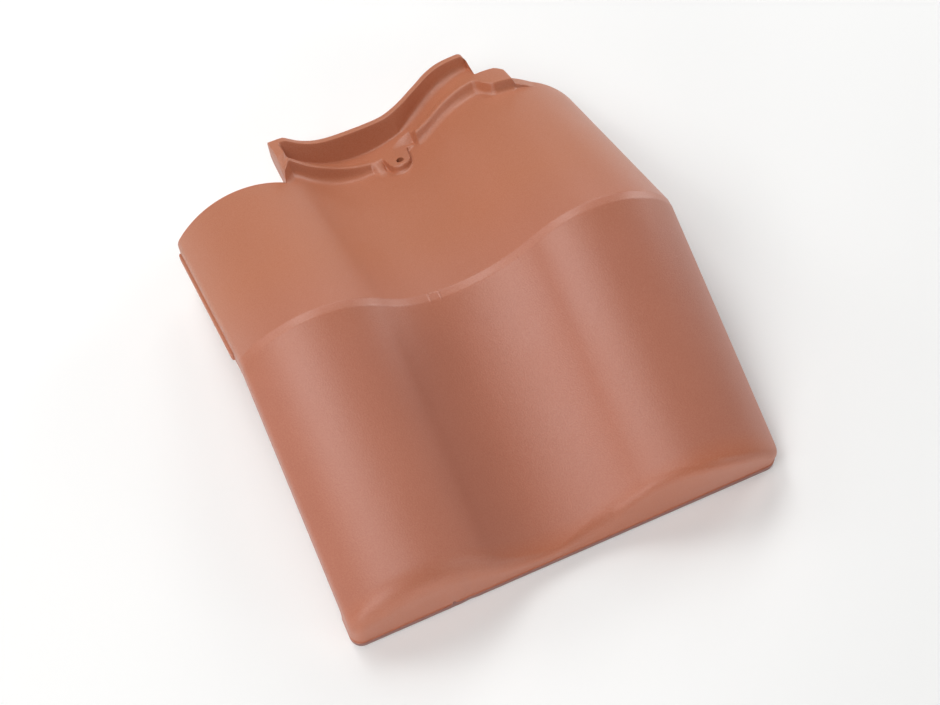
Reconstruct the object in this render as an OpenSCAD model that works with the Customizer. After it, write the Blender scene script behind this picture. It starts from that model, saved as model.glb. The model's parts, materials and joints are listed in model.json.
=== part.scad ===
// Bent double-roll roof tile, pressed and fired as one piece of clay.
// It lies like a tent: the apron comes down toward -Y, the roof leg and its head lock toward +Y.
// Places across the tile run from its left side, places along a leg from the bend,
// and heights stand square on the leg, measured from the bottom of the valley.

/* [Rolls] */
// Left side to the left crest
left_crest = 58; // [50:1:64]
// Left crest to right crest
roll_pitch = 215; // [200:1:235]
// Right crest to the right side
right_reach = 67; // [58:1:69]
// Left crest to the bottom of the valley
valley_reach = 102; // [90:1:112]
// Crests above the valley
roll_h = 38; // [28:0.5:46]
// Outer radius of the rolls
roll_r = 78; // [74:1:90]
// Thickness of the fired clay
wall = 13; // [9:0.5:15]
// Rounding of the two long sides
side_r = 9; // [5:0.5:11]
// Straight face below the rounding on the left side
left_face = 12; // [8:0.5:16]
// Straight face below the rounding on the right side
right_face = 10; // [6:0.5:16]

/* [Bend and apron] */
// Turn between the roof leg and the apron
bend_deg = 45; // [30:1:60]
// Outer radius of the bend
bend_r = 9; // [4:0.5:14]
// Bend to the bottom edge
apron_len = 208; // [160:1:260]
// Slope of the facet that brings the rolls down to the straight bottom edge
facet_deg = 62; // [50:1:68]
// Bottom edge below the valley
edge_drop = 10; // [6:0.5:12]
// Height of the bottom edge's face
edge_face = 6; // [4:0.5:9]
// Length over which the rolls turn into the facet
facet_blend = 14; // [3:0.5:18]
// Length over which the bottom edge is rounded
edge_blend = 4; // [1:0.5:6]
// Rounding of the two bottom corners, seen square on the apron
corner_r = 9; // [4:0.5:12]

/* [Roof leg] */
// Bend to the head end of the left roll
roll_len = 160; // [135:1:165]
// Bend to the step of the head lock
lock_at = 175; // [170:1:200]
// Step to the back of the rear rim
lock_depth = 30; // [26:1:40]
// Width of the lip along the left side
lip_w = 2; // [1:0.25:4]
// Height of that lip
lip_h = 6; // [3:0.5:8]
// Bend to the start of that lip
lip_gap = 12; // [8:1:30]

/* [Head lock] */
// Channel floor above the pan
floor_h = 6; // [4:0.5:8]
// Right rib and shelf above the pan
rib_h = 9; // [7:0.5:12]
// Left rib above the pan, halfway from the end block to the valley
left_rib_h = 12; // [9:0.5:14]
// Rear rim above the pan
rim_h = 21.5; // [18:0.5:26]
// Lowest level of the rear rim, across the valley
rim_low = 25; // [22:0.5:27]
// How much taller the rear rim is on the flank of the right roll
rim_rise = 4; // [0:0.5:6]
// Highest level of the rear rim, on the right roll
rim_peak = 57.5; // [54:0.5:60]
// Thickness of the rear rim at its top
rim_top = 5; // [4:0.5:7]
// Run of the rim's inner face from its top to its foot
rim_lean = 5; // [2:0.5:7]
// Width of the left rib's top
rib_top = 4; // [2.5:0.5:6]
// Run of the step and of the rib's back
step_lean = 2; // [1:0.25:3]
// Further run of the ribs' front faces, down to the pan
face_run = 4.5; // [1:0.5:6]
// Left crest to the outer side of the end block
block_reach = 37; // [33:1:40]
// Width of the end block
block_w = 8; // [6:0.5:10]
// Top of the end block above the valley, at the back
block_top = 41; // [39:0.5:45]
// Top of the end block above the valley, at the front
block_front = 37.5; // [35:0.5:39]
// Left rib's end past the bottom of the valley
rib_reach = 7; // [3:1:10]
// Right shelf's start past the bottom of the valley
shelf_reach = 47; // [42:1:55]
// Rear rim's end before the right crest
rim_short = 7; // [3:1:10]
// Slope of the rear rim's end, across the tile
rim_slant = 1.5; // [1:0.5:6]
// Shelf's side past the right crest
shelf_past = 17; // [12:1:22]
// Shelf's back edge in front of the back of the rim
shelf_short = 20; // [16:1:22]
// Right roll's head end in front of the back of the rim
roll_short = 32; // [30:1:36]
// Raised band on the right roll, beside the shelf
band_h = 4; // [2:0.5:6]
// Length over which that band fades out across the roll
band_run = 18; // [12:1:24]
// How far the step comes forward on the right crest
kink = 14; // [8:1:18]
// Start of that turn before the right crest
kink_reach = 10; // [6:1:14]
// Length of that turn, across the tile
kink_run = 9; // [5:1:12]
// Run of the ramp from the channel to the pan, beside the left rib
ramp_run = 9; // [0:1:12]

/* [Nailing and hanging] */
// Nail hole diameter
nail_d = 6; // [4:0.25:8]
// Nail hole past the bottom of the valley
nail_reach = 27; // [24:1:30]
// Nail hole in front of the step
nail_ahead = 11; // [9:1:14]
// Radius of the pad around the nail hole
pad_r = 9; // [7:0.5:10]
// Width of each hanging nib under the head
nib_w = 26; // [18:1:30]
// Depth of the nibs below the clay of the valley
nib_h = 10; // [7:0.5:14]
// Thickness of the nibs along the tile
nib_t = 14; // [10:0.5:16]
// Nibs' middles to the bottom of the valley
nib_reach = 34; // [28:1:40]
// Nibs in front of the back of the rim
nib_ahead = 6; // [4:0.5:8]

/* [Hidden] */
clay = "#b9745a";
$fn = 48;
overrun = 1;
// Run of a wall across the tile, so that each one leaves the press
draft = 1.5;
// Degrees of arc for each facet of the rolls
arc_step = 6;
// Longest share of a short side that a rounding may take
blend_share = 0.35;
// Lean of the nibs' faces, as a share of their depth
nib_share = 0.15;
// Closest that two stations across the tile may stand
station_gap = 0.6;
// Steps in a broad rounding and in a small one
broad_steps = 4;
small_steps = 2;

half_bend = bend_deg / 2;
width = left_crest + roll_pitch + right_reach;
right_crest = left_crest + roll_pitch;
valley_x = left_crest + valley_reach;
head_end = lock_at + lock_depth;

// Wave across the tile: two rolls and a valley of tangent arcs
arc_y = roll_h - roll_r;
function pair_r(reach) = (reach * reach + roll_h * roll_h) / (2 * roll_h);
left_pair = pair_r(valley_reach);
right_pair = pair_r(roll_pitch - valley_reach);
left_valley_r = left_pair - roll_r;
right_valley_r = right_pair - roll_r;
left_flank = asin(valley_reach / left_pair);
right_flank = asin((roll_pitch - valley_reach) / right_pair);
function chord(r, dx) = sqrt(r * r - dx * dx);
// Height of the wave at x, taken inward by the given depth of clay
function wave(x, depth) =
    x <= left_crest + (roll_r - depth) * sin(left_flank)
        ? arc_y + chord(roll_r - depth, x - left_crest)
    : x <= valley_x
        ? left_valley_r - chord(left_valley_r + depth, x - valley_x)
    : x <= right_crest - (roll_r - depth) * sin(right_flank)
        ? right_valley_r - chord(right_valley_r + depth, x - valley_x)
    : arc_y + chord(roll_r - depth, x - right_crest);

// Long sides: a rounding inside the roll's arc, then a straight face
function side_y(reach) = arc_y + chord(roll_r - side_r, reach - side_r);
function side_run(reach) = side_r * (1 - (reach - side_r) / (roll_r - side_r));
left_run = side_run(left_crest);
right_run = side_run(right_reach);
left_low = side_y(left_crest) - left_face;
right_low = side_y(right_reach) - right_face;
function top_at(x) =
    x < left_run ? side_y(left_crest) + chord(side_r, side_r - x)
    : x > width - right_run ? side_y(right_reach) + chord(side_r, side_r - width + x)
    : wave(x, 0);
function under_at(x) =
    x <= wall ? left_low
    : x >= width - wall ? right_low
    : wave(x, wall);

// Places across the tile where the head lock changes
block_x = left_crest + block_reach;
block_in = block_x + block_w;
rib_stop = valley_x + rib_reach;
shelf_x = valley_x + shelf_reach;
nail_x = valley_x + nail_reach;
rim_stop = right_crest - rim_short;
shelf_stop = right_crest + shelf_past;
band_stop = min(shelf_stop + band_run, width - wall);
shelf_back = head_end - shelf_short;
roll_back = head_end - roll_short;
shelf_turn = min(rim_top, (roll_short - shelf_short) / 2);
nail_s = lock_at - nail_ahead;
pad_level = top_at(nail_x) + floor_h;
pad_left = nail_x - pad_r;
pad_right = nail_x + pad_r;
kink_x = right_crest - kink_reach;

// Heights above the wave, as pairs of a place across the tile and a height
function over_wave(level, xs) = [for (x = xs) [x, level - top_at(x)]];
block_keys = over_wave(block_top, [block_x, block_in]);
shelf_keys = [[shelf_stop, rib_h], [shelf_stop + draft, band_h], [band_stop, 0]];
floor_keys = concat(block_keys, [[block_in + draft, floor_h], [shelf_x, floor_h], [kink_x - kink_run, rib_h]],
    shelf_keys);
rib_keys = concat(over_wave(block_front, [block_x, block_in]),
    [[(block_in + valley_x) / 2, left_rib_h], [rib_stop, floor_h]],
    over_wave(pad_level, [nail_x, pad_right, shelf_x - draft]), [[shelf_x, rib_h]], shelf_keys);
rim_flank = (valley_x + right_crest) / 2;
rim_keys = concat(block_keys,
    [[block_in + rim_top, rim_h], [(valley_x + rim_flank) / 2, rim_h]],
    [[rim_flank, rim_h + rim_rise], [rim_stop - rim_slant, rim_h + rim_rise], [rim_stop, rib_h]]);
// Lift of the underside, so that the clay below the lock stays even
function block_lift(x) = block_top - wall - under_at(x);
lift_keys = [[block_x, block_lift(block_x)], [block_in, block_lift(block_in)],
    [block_in + draft, floor_h], [shelf_stop, floor_h], [band_stop, 0]];

// Step of the head lock along the roof leg, round the pad and forward on the right crest
pad_arc = [for (a = [-90 : arc_step * 2 : 90])
    [nail_x + pad_r * sin(a), nail_s - pad_r * cos(a)]];
kink_at = min(lock_at - kink, roll_back - rib_top - step_lean * 2);
lock_keys = [[block_x, roll_len], [block_in, lock_at]];
kink_keys = [[kink_x, lock_at], [kink_x + kink_run, kink_at]];
step_keys = concat(lock_keys, [[pad_left - draft, lock_at]], pad_arc, [[pad_right + draft, lock_at]],
    kink_keys);
// How far the foot of the step stands in front of it
foot_keys = [[block_x, 0], [block_in, face_run], [rib_stop, face_run], [rib_stop + draft, ramp_run],
    [pad_left - draft * 2, ramp_run], [pad_left - draft, 0], [shelf_x - draft, 0], [shelf_x, face_run],
    [kink_x, face_run], [kink_x + kink_run, 0]];
// Back of the rib's top, which becomes the head end of the right roll
function rib_end(x) = x <= rim_stop ? lookup(x, concat(lock_keys, kink_keys)) + step_lean + rib_top
    : lookup(x, [[rim_stop, rib_end(rim_stop)], [shelf_stop, roll_back]]);
// Foot of the rib's back, which rises to the end block's top and becomes the back edge of the shelf
pad_rise = (lock_depth - rim_top - rim_lean - step_lean - rib_top) / 2;
rise_keys = [[block_x, wall], [block_in, step_lean], [nail_x, step_lean], [pad_right, pad_rise],
    [shelf_x - draft, pad_rise], [shelf_x, step_lean]];
function rib_foot(x) = x <= rim_stop - draft ? rib_end(x) + lookup(x, rise_keys)
    : shelf_end(x, rib_end(x) + step_lean);
function shelf_end(x, from) = lookup(x, [[rim_stop - draft, from], [rim_stop, shelf_back],
    [shelf_stop - shelf_turn, shelf_back], [shelf_stop, shelf_back - shelf_turn]]);
// Underside behind the step, which ends with each of those edges
under_start = min(lock_at, roll_back) - wall;
lip_stop = min(roll_len, under_start) - lip_w;
under_keys = [[block_x, roll_len], [block_in, under_start]];
under_lock_keys = [[rim_stop, lock_at], [shelf_stop, roll_back]];

// Nibs under the head, one each side of the valley
nib_xs = [valley_x - nib_reach, valley_x + nib_reach];
nib_keys = [for (m = nib_xs) each
    [[m - nib_w / 2 - draft, 0], [m - nib_w / 2, 1], [m + nib_w / 2, 1], [m + nib_w / 2 + draft, 0]]];
nib_level = floor_h - wall - nib_h;

// Stations across the tile, in order and each one once
function sorted(v) = len(v) == 0 ? v :
    let (p = v[0])
    concat(sorted([for (x = v) if (x < p) x]), [p], sorted([for (x = v) if (x > p) x]));
function keys_x(keys) = [for (k = keys) k[0]];
function arc_xs(mid, r, from, to) = [for (a = [from : arc_step : to]) mid + r * sin(a)];
left_start = asin((left_crest - left_run) / roll_r);
right_start = asin((right_reach - right_run) / roll_r);
side_steps = [for (a = [0 : 30 : 90]) 1 - cos(a)];
side_xs = concat([for (k = side_steps) each [left_run * k, corner_r * k]],
    [for (k = side_steps) each [width - right_run * k, width - corner_r * k]]);
wall_xs = [wall, wall + draft, width - wall - draft, width - wall];
wave_xs = concat(arc_xs(left_crest, roll_r, -left_start, left_flank),
    arc_xs(valley_x, left_valley_r, -left_flank, 0), arc_xs(valley_x, right_valley_r, 0, right_flank),
    arc_xs(right_crest, roll_r, -right_flank, right_start));
lock_xs = concat(keys_x(floor_keys), keys_x(rib_keys), keys_x(rim_keys), keys_x(lift_keys),
    keys_x(step_keys), keys_x(foot_keys), keys_x(rise_keys), keys_x(nib_keys),
    [rim_stop - draft, shelf_stop - shelf_turn]);
// The head end steps at these places, so they always have a station
fixed_xs = [0, block_x, rim_stop, shelf_stop, width];
function clear_of(x, xs) = min([for (k = xs) abs(x - k)]) > station_gap;
free_xs = sorted([for (x = concat(side_xs, wall_xs, wave_xs, lock_xs))
    if (x > 0 && x < width && clear_of(x, fixed_xs)) x]);
stations = sorted(concat(fixed_xs, [for (i = [0 : len(free_xs) - 1])
    if (i == 0 || free_xs[i] - free_xs[i - 1] > station_gap) free_xs[i]]));

// Section of the tile in a plane across X, with the bisector of the bend upright
function on_roof(s, h) =
    [s * cos(half_bend) + h * sin(half_bend), h * cos(half_bend) - s * sin(half_bend)];
function on_apron(t, h) =
    [-t * cos(half_bend) - h * sin(half_bend), h * cos(half_bend) - t * sin(half_bend)];
function at_bend(h) = [0, h / cos(half_bend)];
function unit(v) = v / norm(v);
// A corner rounded over a length to each side, limited by its neighbours
function rounded(a, p, b, blend, steps) =
    let (c = min(blend, blend_share * norm(a - p), blend_share * norm(b - p)),
        q0 = p + c * unit(a - p),
        q1 = p + c * unit(b - p))
    [for (i = [0 : steps]) let (t = i / steps)
        (1 - t) * (1 - t) * q0 + 2 * t * (1 - t) * p + t * t * q1];
function outline(corners) =
    let (n = len(corners))
    [for (i = [0 : n - 1]) let (c = corners[i], a = corners[(i + n - 1) % n][0], b = corners[(i + 1) % n][0])
        each c[2] == 0 ? [c[0]] : rounded(a, c[0], b, c[1], c[2])];

edge_low = -edge_drop - edge_face;
function corner_cut(d) = d < corner_r ? corner_r - chord(corner_r, corner_r - d) : 0;
function edge_t(x) = apron_len - corner_cut(min(x, width - x));
function facet_t(x, h) = edge_t(x) - (h + edge_drop) / tan(facet_deg);
function facet_in(x, h) = facet_t(x, h + wall / cos(facet_deg));
bend_blend = bend_r * tan(half_bend);
function section(x) =
    let (o = top_at(x), u = under_at(x), step = lookup(x, step_keys),
        rim = min(max(o + lookup(x, rim_keys), rim_low), rim_peak),
        low = o + lookup(x, floor_keys), rib = o + lookup(x, rib_keys),
        lift = u + lookup(x, lift_keys), nib = lift - lookup(x, nib_keys) * (lift - nib_level),
        foot = head_end - nib_ahead, lean = max(nib_share * (lift - nib), draft))
    outline([
        [on_roof(head_end, lift), 0, 0],
        [on_roof(head_end, rim), rim_top / 2, small_steps],
        [on_roof(head_end - rim_top, rim), rim_top / 2, small_steps],
        [on_roof(head_end - rim_top - rim_lean, low), rim_lean, small_steps],
        [on_roof(rib_foot(x), low), 0, 0],
        [on_roof(rib_end(x), rib), 0, 0],
        [on_roof(step + step_lean, rib), 0, 0],
        [on_roof(step - lookup(x, foot_keys), o), 0, 0],
        [at_bend(o), bend_blend, broad_steps],
        [on_apron(facet_t(x, o), o), facet_blend, broad_steps],
        [on_apron(edge_t(x), -edge_drop), edge_blend, small_steps],
        [on_apron(edge_t(x), edge_low), 0, 0],
        [on_apron(facet_in(x, edge_low), edge_low), 0, 0],
        [on_apron(facet_in(x, u), u), 0, 0],
        [at_bend(u), bend_blend, small_steps],
        [on_roof(lip_gap, u), 0, 0],
        [on_roof(lip_stop, u), 0, 0],
        [on_roof(lookup(x, under_keys), u), 0, 0],
        [on_roof(lookup(x, under_lock_keys), lift), 0, 0],
        [on_roof(shelf_end(x, foot - nib_t - lean), lift), 0, 0],
        [on_roof(foot - nib_t, nib), 0, 0],
        [on_roof(foot, nib), 0, 0],
        [on_roof(foot + lean, lift), 0, 0]]);

// Skin over the sections. Each one is a closed run of points, from the head's back round to the nibs.
// Where the head end is stepped back, the skin takes a shorter run, and a flat wall closes the step.
sections = [for (x = stations) section(x)];
ring = len(sections[0]);
last = len(stations) - 1;
full_run = [0, ring - 1];
// Corners counted from the two ends of the run
shelf_run = [1 + 3 * (small_steps + 1), ring - 4];
right_run_js = [shelf_run[0] + 1, ring - 5];
left_run_js = [shelf_run[0] + 3, ring - 6];
function run_at(x) =
    x < block_x ? left_run_js : x < rim_stop ? full_run : x < shelf_stop ? shelf_run : right_run_js;
function row_of(x) = [for (i = [0 : last]) if (stations[i] == x) i * ring][0];
function turned(faces) = [for (f = faces) [f[2], f[1], f[0]]];
function count_up(from, to) = [for (j = [from : to]) j];
function count_down(from, to) = [for (j = [from : -1 : to]) j];
function at_row(x, js) = [for (j = js) row_of(x) + j];
// Lip along the left side: its root stands on the side, two corners of it on the underside's edge
lip_js = [ring - 8, ring - 7];
lip_root = [for (c = [[lip_gap, 0], [lip_stop, 0], [lip_stop, lip_h], [lip_gap, lip_h]])
    on_roof(c[0], left_low + c[1])];
lip_at = (last + 1) * ring;
lip_points = concat([for (p = lip_root) [-lip_w, p[0], p[1]]],
    [for (i = [2, 3]) [0, lip_root[i][0], lip_root[i][1]]]);
lip_faces = concat(
    [for (f = [[0, 1, 2], [0, 2, 3], [3, 2, 4], [3, 4, 5]]) [for (k = f) lip_at + k]],
    [[lip_at, lip_at + 3, lip_at + 5], [lip_at, lip_at + 5, lip_js[0]]],
    [[lip_at + 1, lip_js[1], lip_at + 4], [lip_at + 1, lip_at + 4, lip_at + 2]],
    [[lip_at, lip_js[0], lip_js[1]], [lip_at, lip_js[1], lip_at + 1]]);
skin_points = concat(
    [for (i = [0 : last]) each [for (p = sections[i]) [stations[i], p[0], p[1]]]],
    lip_points);
// Flat band between two chains of points, filled along the shorter of each two diagonals
function far(a, b) = norm(skin_points[a] - skin_points[b]);
function between(up, low, i = 0, k = 0) =
    let (up_left = i < len(up) - 1, low_left = k < len(low) - 1)
    !up_left && !low_left ? []
    : up_left && (!low_left || far(up[i + 1], low[k]) <= far(up[i], low[k + 1]))
        ? concat([[up[i], up[i + 1], low[k]]], between(up, low, i + 1, k))
    : concat([[up[i], low[k + 1], low[k]]], between(up, low, i, k + 1));
// Outer corner of the bottom edge, counted along the run
edge_j = left_run_js[0] + 1 + 2 * (broad_steps + 1) + (small_steps + 1);
function head_wall(x, long, short) =
    between(at_row(x, count_up(1, short[0])), at_row(x, concat([0], count_down(long[1], short[1]))));
left_side = between(count_up(left_run_js[0], edge_j), concat(count_down(left_run_js[1], lip_js[1]),
    [lip_at + 4, lip_at + 5], count_down(lip_js[0], edge_j + 1)));
right_side = between(at_row(width, count_up(right_run_js[0], edge_j)),
    at_row(width, count_down(right_run_js[1], edge_j + 1)));
shelf_side = between(at_row(shelf_stop, [shelf_run[0], right_run_js[0]]),
    at_row(shelf_stop, [shelf_run[1], right_run_js[1]]));
skin_faces = concat(
    [for (i = [0 : last - 1]) each
        let (run = run_at((stations[i] + stations[i + 1]) / 2), a = i * ring, b = a + ring)
        [for (j = [run[0] : run[1]]) each
            let (k = j == run[1] ? run[0] : j + 1)
            [[a + j, b + j, b + k], [a + j, b + k, a + k]]]],
    left_side, lip_faces,
    head_wall(block_x, full_run, left_run_js),
    turned(head_wall(rim_stop, full_run, shelf_run)),
    turned(shelf_side),
    turned(right_side));

// Resting pose: the bottom edge and the nibs stand on the floor
nib_foot = on_roof(head_end - nib_ahead, nib_level);
edge_foot = on_apron(apron_len, edge_low);
rest_deg = atan2(nib_foot[1] - edge_foot[1], nib_foot[0] - edge_foot[0]);
function rest_y(p) = p[1] * cos(rest_deg) + p[2] * sin(rest_deg);
function rest_z(p) = p[2] * cos(rest_deg) - p[1] * sin(rest_deg);
lock_points = [for (p = skin_points) if (p[0] >= block_x && p[0] <= rim_stop) p];
rest_ys = [for (p = lock_points) rest_y(p)];
rest_zs = [for (p = lock_points) rest_z(p)];
rest_move = [(lip_w - width) / 2, -(min(rest_ys) + max(rest_ys)) / 2, -min(rest_zs)];

module on_roof_leg() {
    rotate([-half_bend, 0, 0]) children();
}

module pressed_shell() {
    polyhedron(skin_points, skin_faces);
}

module nail_bore() {
    depth = wall * 3;
    on_roof_leg()
        translate([nail_x, nail_s, pad_level - depth])
            cylinder(h = depth + overrun, d = nail_d);
}

module clay_tile() {
    color(clay)
        translate(rest_move)
            rotate([-rest_deg, 0, 0])
                difference() {
                    pressed_shell();
                    nail_bore();
                }
}

clay_tile();
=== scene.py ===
"""Looks of a bent double-roll roof tile: one pressed and fired piece of unglazed clay, on a pale floor.

The tile's skin is drawn again from the sizes of the part, much finer, with the soft edges of pressed clay.
A few sizes differ from the part's, to follow the photograph more closely.
Sizes are in millimetres until the skin becomes a mesh. Places across the tile run from its left side,
places along a leg from the bend, and heights stand square on the leg, from the bottom of the valley.
"""

import json
import math

import bmesh
import bpy
import numpy as np
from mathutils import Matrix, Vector


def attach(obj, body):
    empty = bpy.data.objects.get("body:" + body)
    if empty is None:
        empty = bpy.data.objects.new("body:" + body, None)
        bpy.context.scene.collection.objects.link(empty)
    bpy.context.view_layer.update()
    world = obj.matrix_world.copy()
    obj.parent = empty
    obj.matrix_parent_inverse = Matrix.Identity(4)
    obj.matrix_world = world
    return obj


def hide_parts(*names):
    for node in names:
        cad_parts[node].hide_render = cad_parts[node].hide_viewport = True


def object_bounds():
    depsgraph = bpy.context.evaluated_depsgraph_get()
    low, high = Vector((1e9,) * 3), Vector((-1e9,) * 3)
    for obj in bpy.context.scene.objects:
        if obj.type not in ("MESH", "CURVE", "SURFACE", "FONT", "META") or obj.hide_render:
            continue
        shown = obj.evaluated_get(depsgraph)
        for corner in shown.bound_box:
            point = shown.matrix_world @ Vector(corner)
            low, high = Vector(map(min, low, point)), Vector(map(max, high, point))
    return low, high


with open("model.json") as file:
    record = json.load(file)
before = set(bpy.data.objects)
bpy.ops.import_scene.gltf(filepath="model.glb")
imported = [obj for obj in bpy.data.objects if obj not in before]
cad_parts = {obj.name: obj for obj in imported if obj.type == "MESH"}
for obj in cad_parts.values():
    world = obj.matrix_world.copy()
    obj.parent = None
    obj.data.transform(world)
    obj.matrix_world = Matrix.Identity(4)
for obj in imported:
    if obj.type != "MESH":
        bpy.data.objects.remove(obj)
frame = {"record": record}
cad_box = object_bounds()
nail = next(m for m in frame["record"]["mounts"] if m["name"] == "nail_hole")

MM = 0.001

# Rolls
LEFT_CREST = 58.0
ROLL_PITCH = 215.0
RIGHT_REACH = 67.0
VALLEY_REACH = 102.0
ROLL_H = 38.0
ROLL_R = 78.0
WALL = 13.0
SIDE_R = 9.0
LEFT_FACE = 12.0
RIGHT_FACE = 10.0

# Bend and apron
BEND_R = 9.0
BEND_DEG = 45.0
APRON_LEN = 208.0
FACET_DEG = 67.0
EDGE_DROP = 10.0
EDGE_FACE = 6.0
FACET_BLEND = 8.0
FACET_SOFT = 18.0
FLANK_FACET_AT = 25.0
FLANK_FACET_SHARE = 1.8
RISE_FACET_SHARE = 1.4
CREST_FACET_SHARE = 0.82
SIDE_FACET_AT = 30.0
SIDE_FACET_SHARE = 0.68
EDGE_BLEND = 0.3
LEDGE = 0.9
CORNER_R = 9.0

# Roof leg and head lock
ROLL_LEN = 160.0
LOCK_AT = 175.0
LOCK_DEPTH = 30.0
LIP_W = 1.9
LIP_H = 6.0
LIP_GAP = 20.0
LIP_SHORT = 0.5
# Rings of the lip: each one's distance from the outer face, and how far the worn edges draw in there
LIP_RINGS = ((0.0, 0.8), (0.6, 0.2), (1.0, 0.0), (2 * LIP_W, 0.0))
FLOOR_H = 6.0
RIB_H = 9.0
LEFT_RIB_H = 12.0
RIM_H = 21.5
RIM_LOW = 25.0
RIM_PEAK = 58.7
RIM_RISE = 4.0
RIM_TOP = 6.0
RIM_LEAN = 5.0
RIB_TOP = 4.0
STEP_LEAN = 2.0
FACE_RUN = 2.0
BLOCK_REACH = 37.0
BLOCK_W = 8.0
BLOCK_TOP = 41.0
BLOCK_FRONT = 37.5
RIB_REACH = 7.0
SHELF_REACH = 47.0
RIM_SHORT = 7.0
RIM_SLANT = 0.3
SHELF_PAST = 17.0
SHELF_SHORT = 20.0
ROLL_SHORT = 32.0
BAND_H = 4.0
BAND_RUN = 18.0
KINK = 14.0
KINK_REACH = 10.0
KINK_RUN = 9.0
RAMP_RUN = 9.0

# Nailing and hanging
NAIL_D = 6.0
NAIL_REACH = 27.0
NAIL_AHEAD = 11.0
PAD_R = 9.0
NIB_W = 26.0
NIB_H = 10.0
NIB_T = 14.0
NIB_REACH = 34.0
NIB_AHEAD = 6.0
NIB_SHARE = 0.15

# Softness of the pressed edges
DRAFT = 1.5
EDGE_SOFT = 0.8
TURN_SOFT = 2.5
PAD_SOFT = 1.6
RIM_SOFT = 5.0
RIM_ROUND = 5.0
RIM_STEEP = 0.5
STEP_FILLET = 9.0
RIM_FILLET = 8.0
BEND_FLAT = 3.5
BEND_ROOF_EDGE = 1.4
BEND_APRON_EDGE = 0.9
RIDGE_EDGE = 0.4
HEAD_EDGE = 1.5
RIM_EDGE = 0.8
CHANNEL_EDGE = 1.2
RIB_EDGE = 1.4
FOOT_EDGE = 0.8
UNDER_EDGE = 1.0
UNDER_TURN = 4.0
HEAD_TURN = 2.0
NIB_ROOT = 1.0
BLEND_SHARE = 0.45
LEAST_FIT_SHARE = 0.02
SHARP_DEG = 38.0

# Marks: two fine mould ridges across the bend, and a chip and a wobble in the bottom edge
RIDGE_PLACES = (143.3, 151.8)
RIDGE_H = 0.35
RIDGE_HALF = 0.5
RIDGE_RUN = 2.0
CHIP_X = 77.6
CHIP_DEEP = 2.2
CHIP_RISE_SHARE = 0.06
CHIP_HALF = 1.7
WOBBLE_X = 89.0
WOBBLE_DEEP = 0.4
WOBBLE_HALF = 4.0

# How closely the skin is drawn: steps across the tile, how far the closer ones reach, and counts
EVEN_STEP = 2.4
CLOSE_STEP = 0.4
CLOSE_REACH = 3.2
PAD_STEP = 0.6
RIDGE_STEP = 0.2
RIDGE_REACH = 1.2
CHIP_REACH = 4.0
LEAST_STEP = 0.12
EASE_STEPS = 9
BLOCK_STEPS = 5
LEVEL_STEPS = 7
PAD_TURNS = 19
SIDE_STEPS = 9
CORNER_STEPS = 10
NAIL_SIDES = 48

# Studio, in metres, with the lens in millimetres
SOFTBOX_FAR = 2.0
SOFTBOX_SIZE = 0.7
AIM_Z = 0.05
FLOOR_HALF = 4.0
FLOOR_GAP = 0.0005
CAMERA_PLACE = (-0.2688, -0.59747, 1.1775)
CAMERA_TURN_DEG = (28.55, -0.22, -24.82)
CAMERA_LENS = 67.0
CAMERA_SENSOR = 36.0

WIDTH = LEFT_CREST + ROLL_PITCH + RIGHT_REACH
RIGHT_CREST = LEFT_CREST + ROLL_PITCH
VALLEY_X = LEFT_CREST + VALLEY_REACH
HEAD_END = LOCK_AT + LOCK_DEPTH
BLOCK_X = LEFT_CREST + BLOCK_REACH
BLOCK_IN = BLOCK_X + BLOCK_W
RIB_STOP = VALLEY_X + RIB_REACH
SHELF_X = VALLEY_X + SHELF_REACH
NAIL_X = VALLEY_X + NAIL_REACH
NAIL_S = LOCK_AT - NAIL_AHEAD
PAD_LEFT = NAIL_X - PAD_R
PAD_RIGHT = NAIL_X + PAD_R
RIM_STOP = RIGHT_CREST - RIM_SHORT
SHELF_STOP = RIGHT_CREST + SHELF_PAST
BAND_STOP = SHELF_STOP + BAND_RUN
SHELF_BACK = HEAD_END - SHELF_SHORT
ROLL_BACK = HEAD_END - ROLL_SHORT
KINK_X = RIGHT_CREST - KINK_REACH
SHELF_TURN = min(RIM_TOP, (ROLL_SHORT - SHELF_SHORT) / 2)
PAD_RISE = (LOCK_DEPTH - RIM_TOP - RIM_LEAN - STEP_LEAN - RIB_TOP) / 2
EDGE_LOW = -EDGE_DROP - EDGE_FACE
NIB_LEVEL = FLOOR_H - WALL - NIB_H
HALF_BEND = math.radians(BEND_DEG / 2)
FACET_SLOPE = math.tan(math.radians(FACET_DEG))


def chord(r, dx):
    """Height of a circle above its centre at a distance from it."""
    return np.sqrt(np.maximum(r * r - dx * dx, 0.0))


ARC_Y = ROLL_H - ROLL_R


def pair_r(reach):
    """Sum of the radii of a roll and the valley arc that meets it smoothly over a reach."""
    return (reach**2 + ROLL_H**2) / (2 * ROLL_H)


LEFT_VALLEY_R = pair_r(VALLEY_REACH) - ROLL_R
RIGHT_VALLEY_R = pair_r(ROLL_PITCH - VALLEY_REACH) - ROLL_R
LEFT_FLANK = VALLEY_REACH / pair_r(VALLEY_REACH)
RIGHT_FLANK = (ROLL_PITCH - VALLEY_REACH) / pair_r(ROLL_PITCH - VALLEY_REACH)


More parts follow.
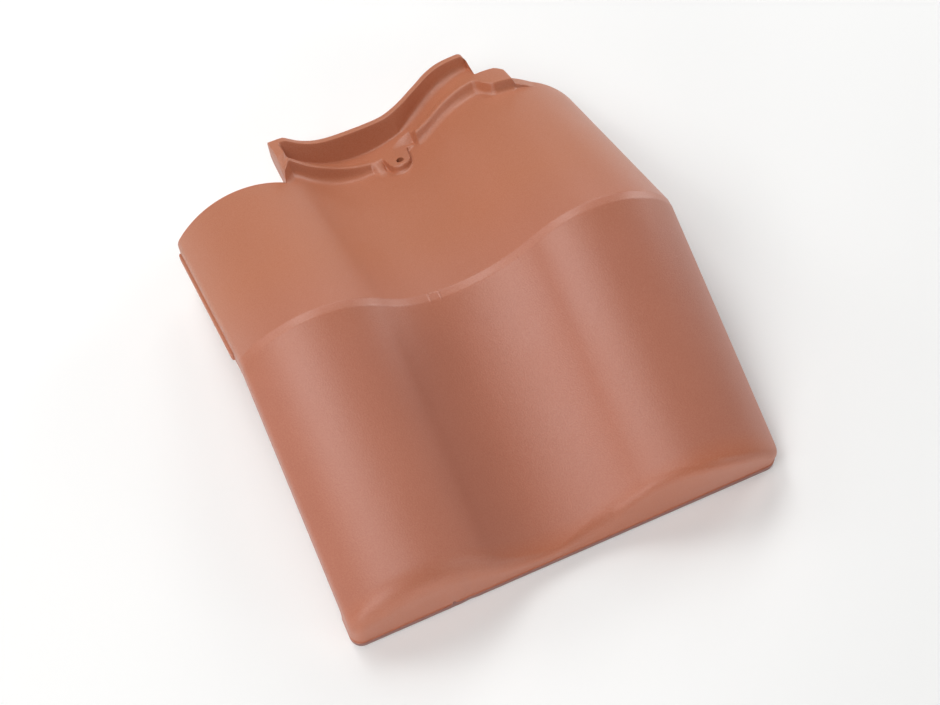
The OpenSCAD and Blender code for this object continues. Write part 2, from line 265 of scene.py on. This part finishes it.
def wave(x, depth=0.0):
    """Height of the two rolls and the valley at x, taken inward by a depth of clay."""
    r = ROLL_R - depth
    left_roll = ARC_Y + chord(r, x - LEFT_CREST)
    left_valley = LEFT_VALLEY_R - chord(LEFT_VALLEY_R + depth, x - VALLEY_X)
    right_valley = RIGHT_VALLEY_R - chord(RIGHT_VALLEY_R + depth, x - VALLEY_X)
    right_roll = ARC_Y + chord(r, x - RIGHT_CREST)
    return np.select(
        [x <= LEFT_CREST + r * LEFT_FLANK, x <= VALLEY_X, x <= RIGHT_CREST - r * RIGHT_FLANK],
        [left_roll, left_valley, right_valley],
        right_roll,
    )


def side_y(reach):
    """Height of the middle of the rounding at a side that lies a reach from its crest."""
    return ARC_Y + float(chord(ROLL_R - SIDE_R, reach - SIDE_R))


def side_run(reach):
    """Width of that rounding, from the side to where it meets the roll."""
    return SIDE_R * (1 - (reach - SIDE_R) / (ROLL_R - SIDE_R))


LEFT_LOW = side_y(LEFT_CREST) - LEFT_FACE
RIGHT_LOW = side_y(RIGHT_REACH) - RIGHT_FACE


def top_at(x):
    """Height of the outside at x, with both sides rounded down."""
    left_side = side_y(LEFT_CREST) + chord(SIDE_R, SIDE_R - x)
    right_side = side_y(RIGHT_REACH) + chord(SIDE_R, SIDE_R - WIDTH + x)
    return np.select(
        [x < side_run(LEFT_CREST), x > WIDTH - side_run(RIGHT_REACH)], [left_side, right_side], wave(x)
    )


def under_at(x):
    """Height of the underside at x, level under the clay of both sides."""
    return np.select([x <= WALL, x >= WIDTH - WALL], [LEFT_LOW, RIGHT_LOW], wave(x, WALL))


def eased(x, keys, soft=EDGE_SOFT):
    """A table of places and values, with its corners softened over a length to each side."""
    places, values = np.array(keys, float).T
    shifts = np.linspace(-soft, soft, EASE_STEPS)
    return np.mean([np.interp(x + d, places, values) for d in shifts], axis=0)


def softly(height, bound, way):
    """Keeps a height above a bound, or below it with a way of -1, and turns softly where the two meet."""
    return (height + bound + way * np.sqrt((height - bound) ** 2 + RIM_SOFT**2)) / 2


def level(height, *places):
    """Keys that hold a level height while the wave rises or falls under it."""
    return [[x, height - float(top_at(np.array(x)))] for x in places]


# Heights above the wave, as pairs of a place across the tile and a height
PAD_LEVEL = float(top_at(np.array(NAIL_X))) + FLOOR_H
RIM_FLANK = (VALLEY_X + RIGHT_CREST) / 2
block_places = np.linspace(BLOCK_X, BLOCK_IN, BLOCK_STEPS)
block_keys = [[BLOCK_X - EDGE_SOFT, 0]] + level(BLOCK_TOP, *block_places)
shelf_keys = [[SHELF_STOP, RIB_H], [SHELF_STOP + DRAFT, BAND_H], [BAND_STOP, 0]]
floor_keys = block_keys + [[BLOCK_IN + DRAFT, FLOOR_H], [SHELF_X, FLOOR_H]]
floor_keys += [[KINK_X - KINK_RUN, RIB_H]] + shelf_keys
rib_keys = [[BLOCK_X - EDGE_SOFT, 0]] + level(BLOCK_FRONT, *block_places)
rib_keys += [[(BLOCK_IN + VALLEY_X) / 2, LEFT_RIB_H], [RIB_STOP, FLOOR_H]]
rib_keys += level(PAD_LEVEL, *np.linspace(NAIL_X, SHELF_X - DRAFT, LEVEL_STEPS))
rib_keys += [[SHELF_X, RIB_H]] + shelf_keys
rim_keys = block_keys + [
    [BLOCK_IN + RIM_TOP, RIM_H],
    [(VALLEY_X + RIM_FLANK) / 2, RIM_H],
    [RIM_FLANK, RIM_H + RIM_RISE],
    [RIM_STOP - RIM_SLANT, RIM_H + RIM_RISE],
    [RIM_STOP, RIB_H],
]
rim_keys += shelf_keys
lift_keys = [[BLOCK_X - EDGE_SOFT, 0]]
lift_keys += [[x, BLOCK_TOP - WALL - float(under_at(np.array(x)))] for x in (BLOCK_X, BLOCK_IN)]
lift_keys += [[BLOCK_IN + DRAFT, FLOOR_H], [SHELF_STOP, FLOOR_H], [BAND_STOP, 0]]

# Places along the roof leg, as pairs of a place across the tile and a place along it
pad_turns = np.radians(np.linspace(-90, 90, PAD_TURNS))
pad_arc = [[NAIL_X + PAD_R * math.sin(a), NAIL_AHEAD + PAD_R * math.cos(a)] for a in pad_turns]
lock_keys = [[BLOCK_X - EDGE_SOFT, ROLL_LEN - DRAFT], [BLOCK_X, ROLL_LEN], [BLOCK_IN, LOCK_AT]]
pad_keys = [[PAD_LEFT - DRAFT, 0]] + pad_arc + [[PAD_RIGHT + DRAFT, 0]]
kink_keys = [[KINK_X, 0], [KINK_X + KINK_RUN, KINK]]
foot_keys = [
    [BLOCK_X, 0],
    [BLOCK_IN, FACE_RUN],
    [RIB_STOP, FACE_RUN],
    [RIB_STOP + DRAFT, RAMP_RUN],
    [PAD_LEFT - DRAFT * 2, RAMP_RUN],
    [PAD_LEFT - DRAFT, 0],
    [SHELF_X - DRAFT, 0],
    [SHELF_X, FACE_RUN],
    [KINK_X, FACE_RUN],
    [KINK_X + KINK_RUN, 0],
]
end_keys = [
    [BLOCK_X - EDGE_SOFT, ROLL_LEN],
    [BLOCK_X, HEAD_END],
    [RIM_STOP, HEAD_END],
    [RIM_STOP + EDGE_SOFT, SHELF_BACK],
    [SHELF_STOP - SHELF_TURN, SHELF_BACK],
    [SHELF_STOP, SHELF_BACK - SHELF_TURN],
    [SHELF_STOP + EDGE_SOFT, ROLL_BACK],
]
rise_keys = [
    [BLOCK_X - EDGE_SOFT, STEP_LEAN],
    [BLOCK_X, WALL],
    [BLOCK_IN, STEP_LEAN],
    [NAIL_X, STEP_LEAN],
    [PAD_RIGHT, PAD_RISE],
    [SHELF_X - DRAFT, PAD_RISE],
    [SHELF_X, STEP_LEAN],
]
# In the valley the rim leans and meets the channel in a tight corner, and up the flank in a broad fillet
lean_keys = [[SHELF_X - PAD_R, RIM_LEAN], [RIM_FLANK, RIM_STEEP]]
fillet_keys = [[SHELF_X - PAD_R, DRAFT], [RIM_FLANK, RIM_FILLET]]
# The facet's run as a share of what its slope gives: longer on the right flank, shorter from the crest on
facet_keys = [
    [VALLEY_X, 1.0],
    [VALLEY_X + FLANK_FACET_AT, FLANK_FACET_SHARE],
    [RIM_FLANK, RISE_FACET_SHARE],
    [RIGHT_CREST, CREST_FACET_SHARE],
    [RIGHT_CREST + SIDE_FACET_AT, SIDE_FACET_SHARE],
]
facet_soft_keys = [[VALLEY_X, FACET_SOFT], [RIM_FLANK, FACET_BLEND]]
nib_keys = []
for middle in (VALLEY_X - NIB_REACH, VALLEY_X + NIB_REACH):
    near, far = middle - NIB_W / 2, middle + NIB_W / 2
    nib_keys += [[near - DRAFT, 0], [near, 1], [far, 1], [far + DRAFT, 0]]


def on_roof(s, h):
    """A place on the roof leg, as distances backward and upward from the bend."""
    s, h = np.broadcast_arrays(s, h)
    c, n = math.cos(HALF_BEND), math.sin(HALF_BEND)
    return np.stack([s * c + h * n, h * c - s * n], axis=-1)


def on_apron(t, h):
    """A place on the apron, as distances backward and upward from the bend."""
    t, h = np.broadcast_arrays(t, h)
    c, n = math.cos(HALF_BEND), math.sin(HALF_BEND)
    return np.stack([-t * c - h * n, h * c - t * n], axis=-1)


def at_bend(h):
    """The place where both legs meet at a height."""
    return np.stack([np.zeros_like(h), h / math.cos(HALF_BEND)], axis=-1)


def rounded_outline(corners):
    """Closed outline through the corners: each has its place, the length that its rounding takes to
    each side, the steps in that rounding, and the steps in the straight run to the next corner."""
    places = [c[0] for c in corners]
    bends = []
    for i, (place, blend, steps, _) in enumerate(corners):
        before, after = places[i - 1] - place, places[(i + 1) % len(places)] - place
        far_before = np.linalg.norm(before, axis=-1, keepdims=True) + 1e-9
        far_after = np.linalg.norm(after, axis=-1, keepdims=True) + 1e-9
        cut = np.minimum(blend, BLEND_SHARE * np.minimum(far_before, far_after))
        start, stop = place + before * cut / far_before, place + after * cut / far_after
        ts = np.linspace(0, 1, steps + 1)
        bends.append([(1 - t) ** 2 * start + 2 * t * (1 - t) * place + t * t * stop for t in ts])
    outline = []
    for i, bend in enumerate(bends):
        run = corners[i][3]
        following = bends[(i + 1) % len(bends)][0]
        outline += bend
        outline += [bend[-1] + (following - bend[-1]) * k / run for k in range(1, run)]
    return np.stack(outline, axis=1)


def bump(x, place, half):
    """A soft bump of height one at a place, which falls to about a third at half to each side."""
    return np.exp(-(((x - place) / half) ** 2))


def sections(x):
    """The tile's outline at each place across it, from the head's back round the apron to the nibs."""
    o, u = top_at(x), under_at(x)
    kink = eased(x, kink_keys, TURN_SOFT)
    back = eased(x, lock_keys) - kink
    step = back - eased(x, pad_keys)
    end = eased(x, end_keys, EDGE_SOFT / 2)
    rim = o + eased(x, rim_keys)
    turn = np.clip(x - (RIM_STOP - RIM_SLANT - RIM_ROUND), 0, RIM_ROUND)
    capped = softly(softly(rim, RIM_LOW, 1), RIM_PEAK, -1) - RIM_ROUND + chord(RIM_ROUND, turn)
    between = (x > BLOCK_IN) & (x < RIM_STOP - RIM_SLANT)
    rim = np.where(between, capped, np.minimum(rim, RIM_PEAK - np.where(x > VALLEY_X, RIM_ROUND, 0)))
    low, rib = o + eased(x, floor_keys), o + eased(x, rib_keys)
    lift = u + eased(x, lift_keys)
    nib = lift - eased(x, nib_keys) * (lift - NIB_LEVEL)
    fit = np.clip((end - step) / LOCK_DEPTH, LEAST_FIT_SHARE, 1)
    foot = end - NIB_AHEAD * fit
    lean = np.maximum(NIB_SHARE * (lift - nib), DRAFT) * fit
    side = np.minimum(np.minimum(x, WIDTH - x), CORNER_R)
    edge = APRON_LEN - CORNER_R + chord(CORNER_R, CORNER_R - side)
    edge = edge - WOBBLE_DEEP * bump(x, WOBBLE_X, WOBBLE_HALF)
    chipped = edge - CHIP_DEEP * bump(x, CHIP_X, CHIP_HALF)
    ledge = edge - LEDGE
    facet = ledge - (o + EDGE_DROP) / FACET_SLOPE * eased(x, facet_keys, FACET_BLEND)
    facet_soft, fillet = eased(x, facet_soft_keys)[:, None], eased(x, fillet_keys)[:, None]
    rim_run, rib_run = RIM_TOP + eased(x, lean_keys), RIB_TOP + STEP_LEAN + eased(x, rise_keys)
    chip_top = ledge - CHIP_RISE_SHARE * (ledge - facet)
    chip_top_h = CHIP_RISE_SHARE * (o + EDGE_DROP) - EDGE_DROP
    ridge = o + RIDGE_H * sum(bump(x, place, RIDGE_HALF) for place in RIDGE_PLACES)
    bend = BEND_FLAT - o * math.tan(HALF_BEND)
    plumb = EDGE_FACE * math.cos(HALF_BEND)
    edge_out, edge_low = plumb * math.sin(HALF_BEND), -EDGE_DROP - plumb * math.cos(HALF_BEND)
    facet_wall = WALL / math.cos(math.radians(FACET_DEG)) + EDGE_DROP
    inner, inner_low = edge - (u + facet_wall) / FACET_SLOPE, edge - (EDGE_LOW + facet_wall) / FACET_SLOPE
    bend_blend = BEND_R * math.tan(HALF_BEND)
    return rounded_outline(
        [
            (on_roof(end, lift), HEAD_EDGE, 2, 4),
            (on_roof(end, rim), HEAD_EDGE, 4, 2),
            (on_roof(end - RIM_TOP * fit, rim), RIM_EDGE, 3, 5),
            (on_roof(end - rim_run * fit, low), fillet, 6, 3),
            (on_roof(back + rib_run * fit, low), CHANNEL_EDGE, 2, 1),
            (on_roof(back + (RIB_TOP + STEP_LEAN) * fit, rib), RIB_EDGE, 3, 1),
            (on_roof(step + STEP_LEAN * fit, rib), RIB_EDGE, 3, 2),
            (on_roof(step - eased(x, foot_keys, PAD_SOFT), o), STEP_FILLET, 6, 32),
            (on_roof(bend + RIDGE_RUN, o), RIDGE_EDGE, 1, 2),
            (on_roof(bend, ridge), BEND_ROOF_EDGE, 4, 3),
            (on_apron(bend, ridge), BEND_APRON_EDGE, 4, 2),
            (on_apron(bend + RIDGE_RUN, o), RIDGE_EDGE, 1, 32),
            (on_apron(facet, o), facet_soft, 12, 8),
            (on_apron(chip_top, chip_top_h), EDGE_BLEND, 1, 1),
            (on_apron(np.minimum(ledge, chipped), -EDGE_DROP), EDGE_BLEND, 3, 1),
            (on_apron(chipped, -EDGE_DROP), EDGE_BLEND, 3, 2),
            (on_apron(edge + edge_out, edge_low), FOOT_EDGE, 2, 3),
            (on_apron(inner_low, EDGE_LOW), UNDER_EDGE, 2, 4),
            (on_apron(inner, u), UNDER_TURN, 2, 20),
            (at_bend(u), bend_blend, 4, 20),
            (on_roof(end - (LOCK_DEPTH + WALL) * fit, u), HEAD_TURN, 2, 3),
            (on_roof(end - LOCK_DEPTH * fit, lift), HEAD_TURN, 2, 2),
            (on_roof(foot - NIB_T * fit - lean, lift), NIB_ROOT, 2, 1),
            (on_roof(foot - NIB_T * fit, nib), HEAD_EDGE, 2, 3),
            (on_roof(foot, nib), HEAD_EDGE, 2, 1),
            (on_roof(foot + lean, lift), NIB_ROOT, 2, 1),
        ]
    )


def stations():
    """Places across the tile: even ones, and closer ones where the head lock and the sides turn."""
    even = np.arange(0, WIDTH, EVEN_STEP)
    turns = [BLOCK_X, BLOCK_IN, RIB_STOP, PAD_LEFT, PAD_RIGHT, SHELF_X, RIM_STOP, SHELF_STOP]
    turns.append(RIM_STOP - RIM_ROUND)
    close = [np.arange(x - CLOSE_REACH, x + CLOSE_REACH, CLOSE_STEP) for x in turns]
    shares = np.linspace(0, 1, SIDE_STEPS) ** 2
    sides = np.concatenate([side_run(LEFT_CREST) * shares, WIDTH - side_run(RIGHT_REACH) * shares])
    corners = CORNER_R * (1 - np.cos(np.linspace(0, math.pi / 2, CORNER_STEPS)))
    pad = np.arange(PAD_LEFT, PAD_RIGHT, PAD_STEP)
    marks = [np.arange(x - RIDGE_REACH, x + RIDGE_REACH, RIDGE_STEP) for x in RIDGE_PLACES]
    marks.append(np.arange(CHIP_X - CHIP_REACH, CHIP_X + CHIP_REACH, CLOSE_STEP))
    places = np.concatenate([even, pad, sides, corners, WIDTH - corners, *close, *marks, [WIDTH]])
    kept = [0.0]
    for x in np.unique(np.round(places, 3)):
        if x - kept[-1] > LEAST_STEP:
            kept.append(x)
    kept[-1] = WIDTH
    return np.array(kept)


def tile_skin():
    """Points and faces of the tile, before it is laid down."""
    xs = stations()
    rings = sections(xs)
    count, ring = rings.shape[:2]
    points = np.concatenate([np.repeat(xs, ring)[:, None], rings.reshape(-1, 2)], axis=1)
    faces = []
    for i in range(count - 1):
        a, b = i * ring, (i + 1) * ring
        faces += [(a + j, a + (j + 1) % ring, b + (j + 1) % ring, b + j) for j in range(ring)]
    faces.append(tuple(range(ring - 1, -1, -1)))
    faces.append(tuple((count - 1) * ring + j for j in range(ring)))
    return points, faces


def side_lip():
    """The thin lip on the roof leg's left side, rooted in the side, with its outer edges worn round."""
    points = []
    for out, inset in LIP_RINGS:
        x = out - LIP_W
        low, high = LEFT_LOW + inset, LEFT_LOW + LIP_H - inset
        near, far = LIP_GAP + inset * 2, ROLL_LEN - LIP_SHORT - inset * 2
        points += [[x, *on_roof(s, h)] for s, h in ((near, low), (far, low), (far, high), (near, high))]
    faces = [(i + j, i + (j + 1) % 4, i + 4 + (j + 1) % 4, i + 4 + j) for i in (0, 4, 8) for j in range(4)]
    faces += [(3, 2, 1, 0), (12, 13, 14, 15)]
    return np.array(points), faces


def laid_down(points):
    """From the tile's own frame to the part's: the nail hole of the record gives the turn and the move."""
    turn = math.atan2(nail["axis"][1], nail["axis"][2]) - HALF_BEND
    c, n = math.cos(turn), math.sin(turn)
    turned = np.stack(
        [points[:, 0], points[:, 1] * c + points[:, 2] * n, points[:, 2] * c - points[:, 1] * n], axis=1
    )
    y, z = on_roof(NAIL_S, 0.0)
    root = np.array([NAIL_X, y * c + z * n, z * c - y * n])
    return (turned - root) * MM + np.array(nail["pos_m"])


def shaped(name, points, faces):
    """An object in the scene, from points in metres and faces."""
    mesh = bpy.data.meshes.new(name)
    mesh.from_pydata([tuple(p) for p in points], [], faces)
    mesh.validate()
    mesh.update()
    piece = bpy.data.objects.new(name, mesh)
    bpy.context.scene.collection.objects.link(piece)
    return piece


def joined(piece, points, faces):
    """Adds a further closed skin to a piece's mesh."""
    skin = bmesh.new()
    skin.from_mesh(piece.data)
    corners = [skin.verts.new(p) for p in points]
    for face in faces:
        skin.faces.new([corners[i] for i in face])
    skin.to_mesh(piece.data)
    skin.free()


def drill(piece):
    """The nail hole, cut through the pad along the record's own axis."""
    axis, middle = Vector(nail["axis"]), Vector(nail["pos_m"])
    across = axis.cross(Vector((1, 0, 0))).normalized()
    reach = 3 * WALL * MM / 2
    turns = [2 * math.pi * i / NAIL_SIDES for i in range(NAIL_SIDES)]
    rim = [Vector((1, 0, 0)) * math.cos(a) + across * math.sin(a) for a in turns]
    points = [middle + axis * k * reach + r * NAIL_D / 2 * MM for k in (-1, 1) for r in rim]
    pairs = [(i, (i + 1) % NAIL_SIDES) for i in range(NAIL_SIDES)]
    faces = [(i, k, NAIL_SIDES + k, NAIL_SIDES + i) for i, k in pairs]
    faces += [tuple(range(NAIL_SIDES - 1, -1, -1)), tuple(range(NAIL_SIDES, 2 * NAIL_SIDES))]
    bit = shaped("nail_bit", points, faces)
    cut = piece.modifiers.new("nail_hole", "BOOLEAN")
    cut.object, cut.operation, cut.solver = bit, "DIFFERENCE", "EXACT"
    bpy.context.view_layer.update()
    cut_mesh = bpy.data.meshes.new_from_object(piece.evaluated_get(bpy.context.evaluated_depsgraph_get()))
    piece.modifiers.clear()
    old, piece.data = piece.data, cut_mesh
    bpy.data.meshes.remove(old)
    bpy.data.objects.remove(bit)


def linear(hex_colour):
    """An sRGB hex colour as linear values with full alpha."""
    parts = [int(hex_colour[i : i + 2], 16) / 255 for i in (1, 3, 5)]
    return [p / 12.92 if p <= 0.04045 else ((p + 0.055) / 1.055) ** 2.4 for p in parts] + [1.0]


def node(tree, kind, settings, links):
    """Adds a node, sets its properties and unlinked sockets, and links its other sockets."""
    added = tree.nodes.new(kind)
    for key, value in settings.items():
        if isinstance(key, str) and hasattr(added, key):
            setattr(added, key, value)
        else:
            added.inputs[key].default_value = value
    for key, source in links.items():
        tree.links.new(source, added.inputs[key])
    return added


# Sockets of a mix node that mixes colours: its factor, its two colours and its result
MIX, ONE, OTHER, MIXED = 0, 6, 7, 2


def new_material(name):
    """An empty material and its nodes."""
    material = bpy.data.materials.new(name)
    material.use_nodes = True
    material.node_tree.nodes.clear()
    return material, material.node_tree


def fired_clay():
    """Unglazed red clay, pressed in a mould and fired: matt with a faint sheen from its fine skin, a slow
    drift of colour from the kiln, more orange up the roof leg, more orange at the apron's foot as painted
    shade that damps the pale sheen on its facet, a darker low edge there as painted shade, and a fine sandy
    grain."""
    material, tree = new_material("fired_red_clay_pressed_with_painted_shade")
    at = node(tree, "ShaderNodeTexCoord", {}, {}).outputs["Object"]
    drift_mm, grain_mm, uneven_mm = 70.0, 1.1, 28.0
    # Where the colour turns: front to back for the roof leg and for the painted shade at the foot, upward
    # for the painted shade along the low edge
    roof_mm, shaded_foot_mm, edge_shade_mm = (-40.0, 50.0), (-198.0, -182.0), (5.3, 5.9)
    drift = node(
        tree,
        "ShaderNodeTexNoise",
        {"Scale": 1 / (drift_mm * MM), "Detail": 3.0, "Roughness": 0.6},
        {"Vector": at},
    ).outputs["Fac"]
    # The sand is finer than a pixel of the render, so its grain is drawn as coarse as it needs to show
    grain = node(
        tree, "ShaderNodeTexNoise", {"Scale": 1 / (grain_mm * MM), "Detail": 2.0}, {"Vector": at}
    ).outputs["Fac"]
    uneven = node(
        tree, "ShaderNodeTexNoise", {"Scale": 1 / (uneven_mm * MM), "Detail": 1.0}, {"Vector": at}
    ).outputs["Fac"]
    split = node(tree, "ShaderNodeSeparateXYZ", {}, {"Vector": at}).outputs
    up_roof = node(
        tree,
        "ShaderNodeMapRange",
        {"From Min": roof_mm[0] * MM, "From Max": roof_mm[1] * MM, "To Min": 0.0, "To Max": 0.8},
        {"Value": split["Y"]},
    ).outputs["Result"]
    kiln = node(
        tree,
        "ShaderNodeMix",
        {"data_type": "RGBA", ONE: linear("#b36e58"), OTHER: linear("#bb735b")},
        {MIX: drift},
    ).outputs[MIXED]
    flashed = node(
        tree, "ShaderNodeMix", {"data_type": "RGBA", OTHER: linear("#b96f4b")}, {MIX: up_roof, ONE: kiln}
    ).outputs[MIXED]
    # Painted shade: the apron's foot turns more orange, damping the pale sheen that its facet catches from
    # the floor
    painted_foot_shade = node(
        tree,
        "ShaderNodeMapRange",
        {"From Min": shaded_foot_mm[0] * MM, "From Max": shaded_foot_mm[1] * MM, "To Min": 0.9, "To Max": 0.0},
        {"Value": split["Y"]},
    ).outputs["Result"]
    with_foot_shade = node(
        tree, "ShaderNodeMix", {"data_type": "RGBA", OTHER: linear("#bd6c4b")}, {MIX: painted_foot_shade, ONE: flashed}
    ).outputs[MIXED]
    sand = node(
        tree,
        "ShaderNodeMapRange",
        {"From Min": 0.35, "From Max": 0.75, "To Min": 0.0, "To Max": 0.28},
        {"Value": grain},
    ).outputs["Result"]
    body = node(
        tree, "ShaderNodeMix", {"data_type": "RGBA", OTHER: linear("#cb9078")}, {MIX: sand, ONE: with_foot_shade}
    ).outputs[MIXED]
    # Painted shade: a dark band along the apron's low edge, where it meets the floor
    edge_shade_rise = node(
        tree,
        "ShaderNodeMapRange",
        {"From Min": edge_shade_mm[0] * MM, "From Max": edge_shade_mm[1] * MM, "To Min": 0.9, "To Max": 0.0},
        {"Value": split["Z"]},
    ).outputs["Result"]
    painted_edge_shade = node(
        tree, "ShaderNodeMath", {"operation": "MULTIPLY"}, {0: edge_shade_rise, 1: painted_foot_shade}
    ).outputs["Value"]
    with_edge_shade = node(
        tree, "ShaderNodeMix", {"data_type": "RGBA", OTHER: linear("#7d504b")}, {MIX: painted_edge_shade, ONE: body}
    ).outputs[MIXED]
    sheen = node(
        tree,
        "ShaderNodeMapRange",
        {"From Min": 0.3, "From Max": 0.7, "To Min": 0.4, "To Max": 0.46},
        {"Value": drift},
    ).outputs["Result"]
    waves = node(
        tree, "ShaderNodeBump", {"Strength": 0.25, "Distance": 0.4 * MM}, {"Height": uneven}
    ).outputs["Normal"]
    skin = node(
        tree, "ShaderNodeBump", {"Strength": 0.8, "Distance": 0.2 * MM}, {"Height": grain, "Normal": waves}
    ).outputs["Normal"]
    clay = node(
        tree,
        "ShaderNodeBsdfPrincipled",
        {"IOR": 1.6, "Metallic": 0.0},
        {"Base Color": with_edge_shade, "Roughness": sheen, "Normal": skin},
    )
    node(tree, "ShaderNodeOutputMaterial", {}, {"Surface": clay.outputs["BSDF"]})
    return material


def studio_paper():
    """Matt white paper that glows a little: plain, so that only a faint soft shadow shows on it."""
    material, tree = new_material("matt_white_paper")
    paper = node(
        tree,
        "ShaderNodeBsdfPrincipled",
        {"Base Color": linear("#f8f8f7"), "Roughness": 0.9, "IOR": 1.45, "Emission Strength": 0.08},
        {},
    )
    node(tree, "ShaderNodeOutputMaterial", {}, {"Surface": paper.outputs["BSDF"]})
    return material


def softbox(name, rise_deg, turn_deg, watts):
    """A square softbox, by its rise and its turn from the front to the right, both in degrees."""
    rise, turn = math.radians(rise_deg), math.radians(turn_deg)
    light = bpy.data.lights.new(name, "AREA")
    light.shape, light.size, light.energy = "SQUARE", SOFTBOX_SIZE, watts
    lamp = bpy.data.objects.new(name, light)
    flat = SOFTBOX_FAR * math.cos(rise)
    lamp.location = (flat * math.sin(turn), -flat * math.cos(turn), AIM_Z + SOFTBOX_FAR * math.sin(rise))
    lamp.rotation_euler = (Vector((0, 0, AIM_Z)) - lamp.location).to_track_quat("-Z", "Y").to_euler()
    lamp.visible_camera = False
    bpy.context.scene.collection.objects.link(lamp)


points, faces = tile_skin()
tile = shaped("fired_tile", laid_down(points), faces)
drill(tile)
lip_points, lip_faces = side_lip()
joined(tile, laid_down(lip_points), lip_faces)
tile.data.shade_smooth()
tile.data.set_sharp_from_angle(angle=math.radians(SHARP_DEG))
tile.data.materials.clear()
tile.data.materials.append(fired_clay())
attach(tile, "root")
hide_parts("clay_tile")

floor_z = cad_box[0][2] - FLOOR_GAP
floor = shaped(
    "studio_floor",
    [(x * FLOOR_HALF, y * FLOOR_HALF, floor_z) for x, y in ((-1, -1), (1, -1), (1, 1), (-1, 1))],
    [(0, 1, 2, 3)],
)
floor.data.materials.append(studio_paper())

world = bpy.data.worlds.new("white_room")
world.use_nodes = True
world.node_tree.nodes["Background"].inputs["Color"].default_value = linear("#ffffff")
world.node_tree.nodes["Background"].inputs["Strength"].default_value = 0.06
bpy.context.scene.world = world
softbox("front_left_high_softbox", 63, 337, 3.6)
softbox("left_high_softbox", 63, 292, 7.0)
softbox("left_softbox", 48, 288, 6.0)
softbox("back_left_softbox", 33, 234, 5.0)
softbox("back_softbox", 48, 184, 5.5)
softbox("back_high_softbox", 57, 205, 9.0)
softbox("back_right_softbox", 33, 150, 5.8)
softbox("right_low_softbox", 15, 108, 12.0)
softbox("front_right_low_softbox", 15, 38, 3.8)
softbox("front_left_low_softbox", 15, 324, 9.0)
bpy.context.scene.view_settings.view_transform = "Standard"

camera_data = bpy.data.cameras.new("photo_camera")
camera_data.sensor_width = CAMERA_SENSOR
camera_data.lens = CAMERA_LENS
camera = bpy.data.objects.new("photo_camera", camera_data)
camera.location = CAMERA_PLACE
camera.rotation_euler = [math.radians(a) for a in CAMERA_TURN_DEG]
bpy.context.scene.collection.objects.link(camera)
bpy.context.scene.camera = camera
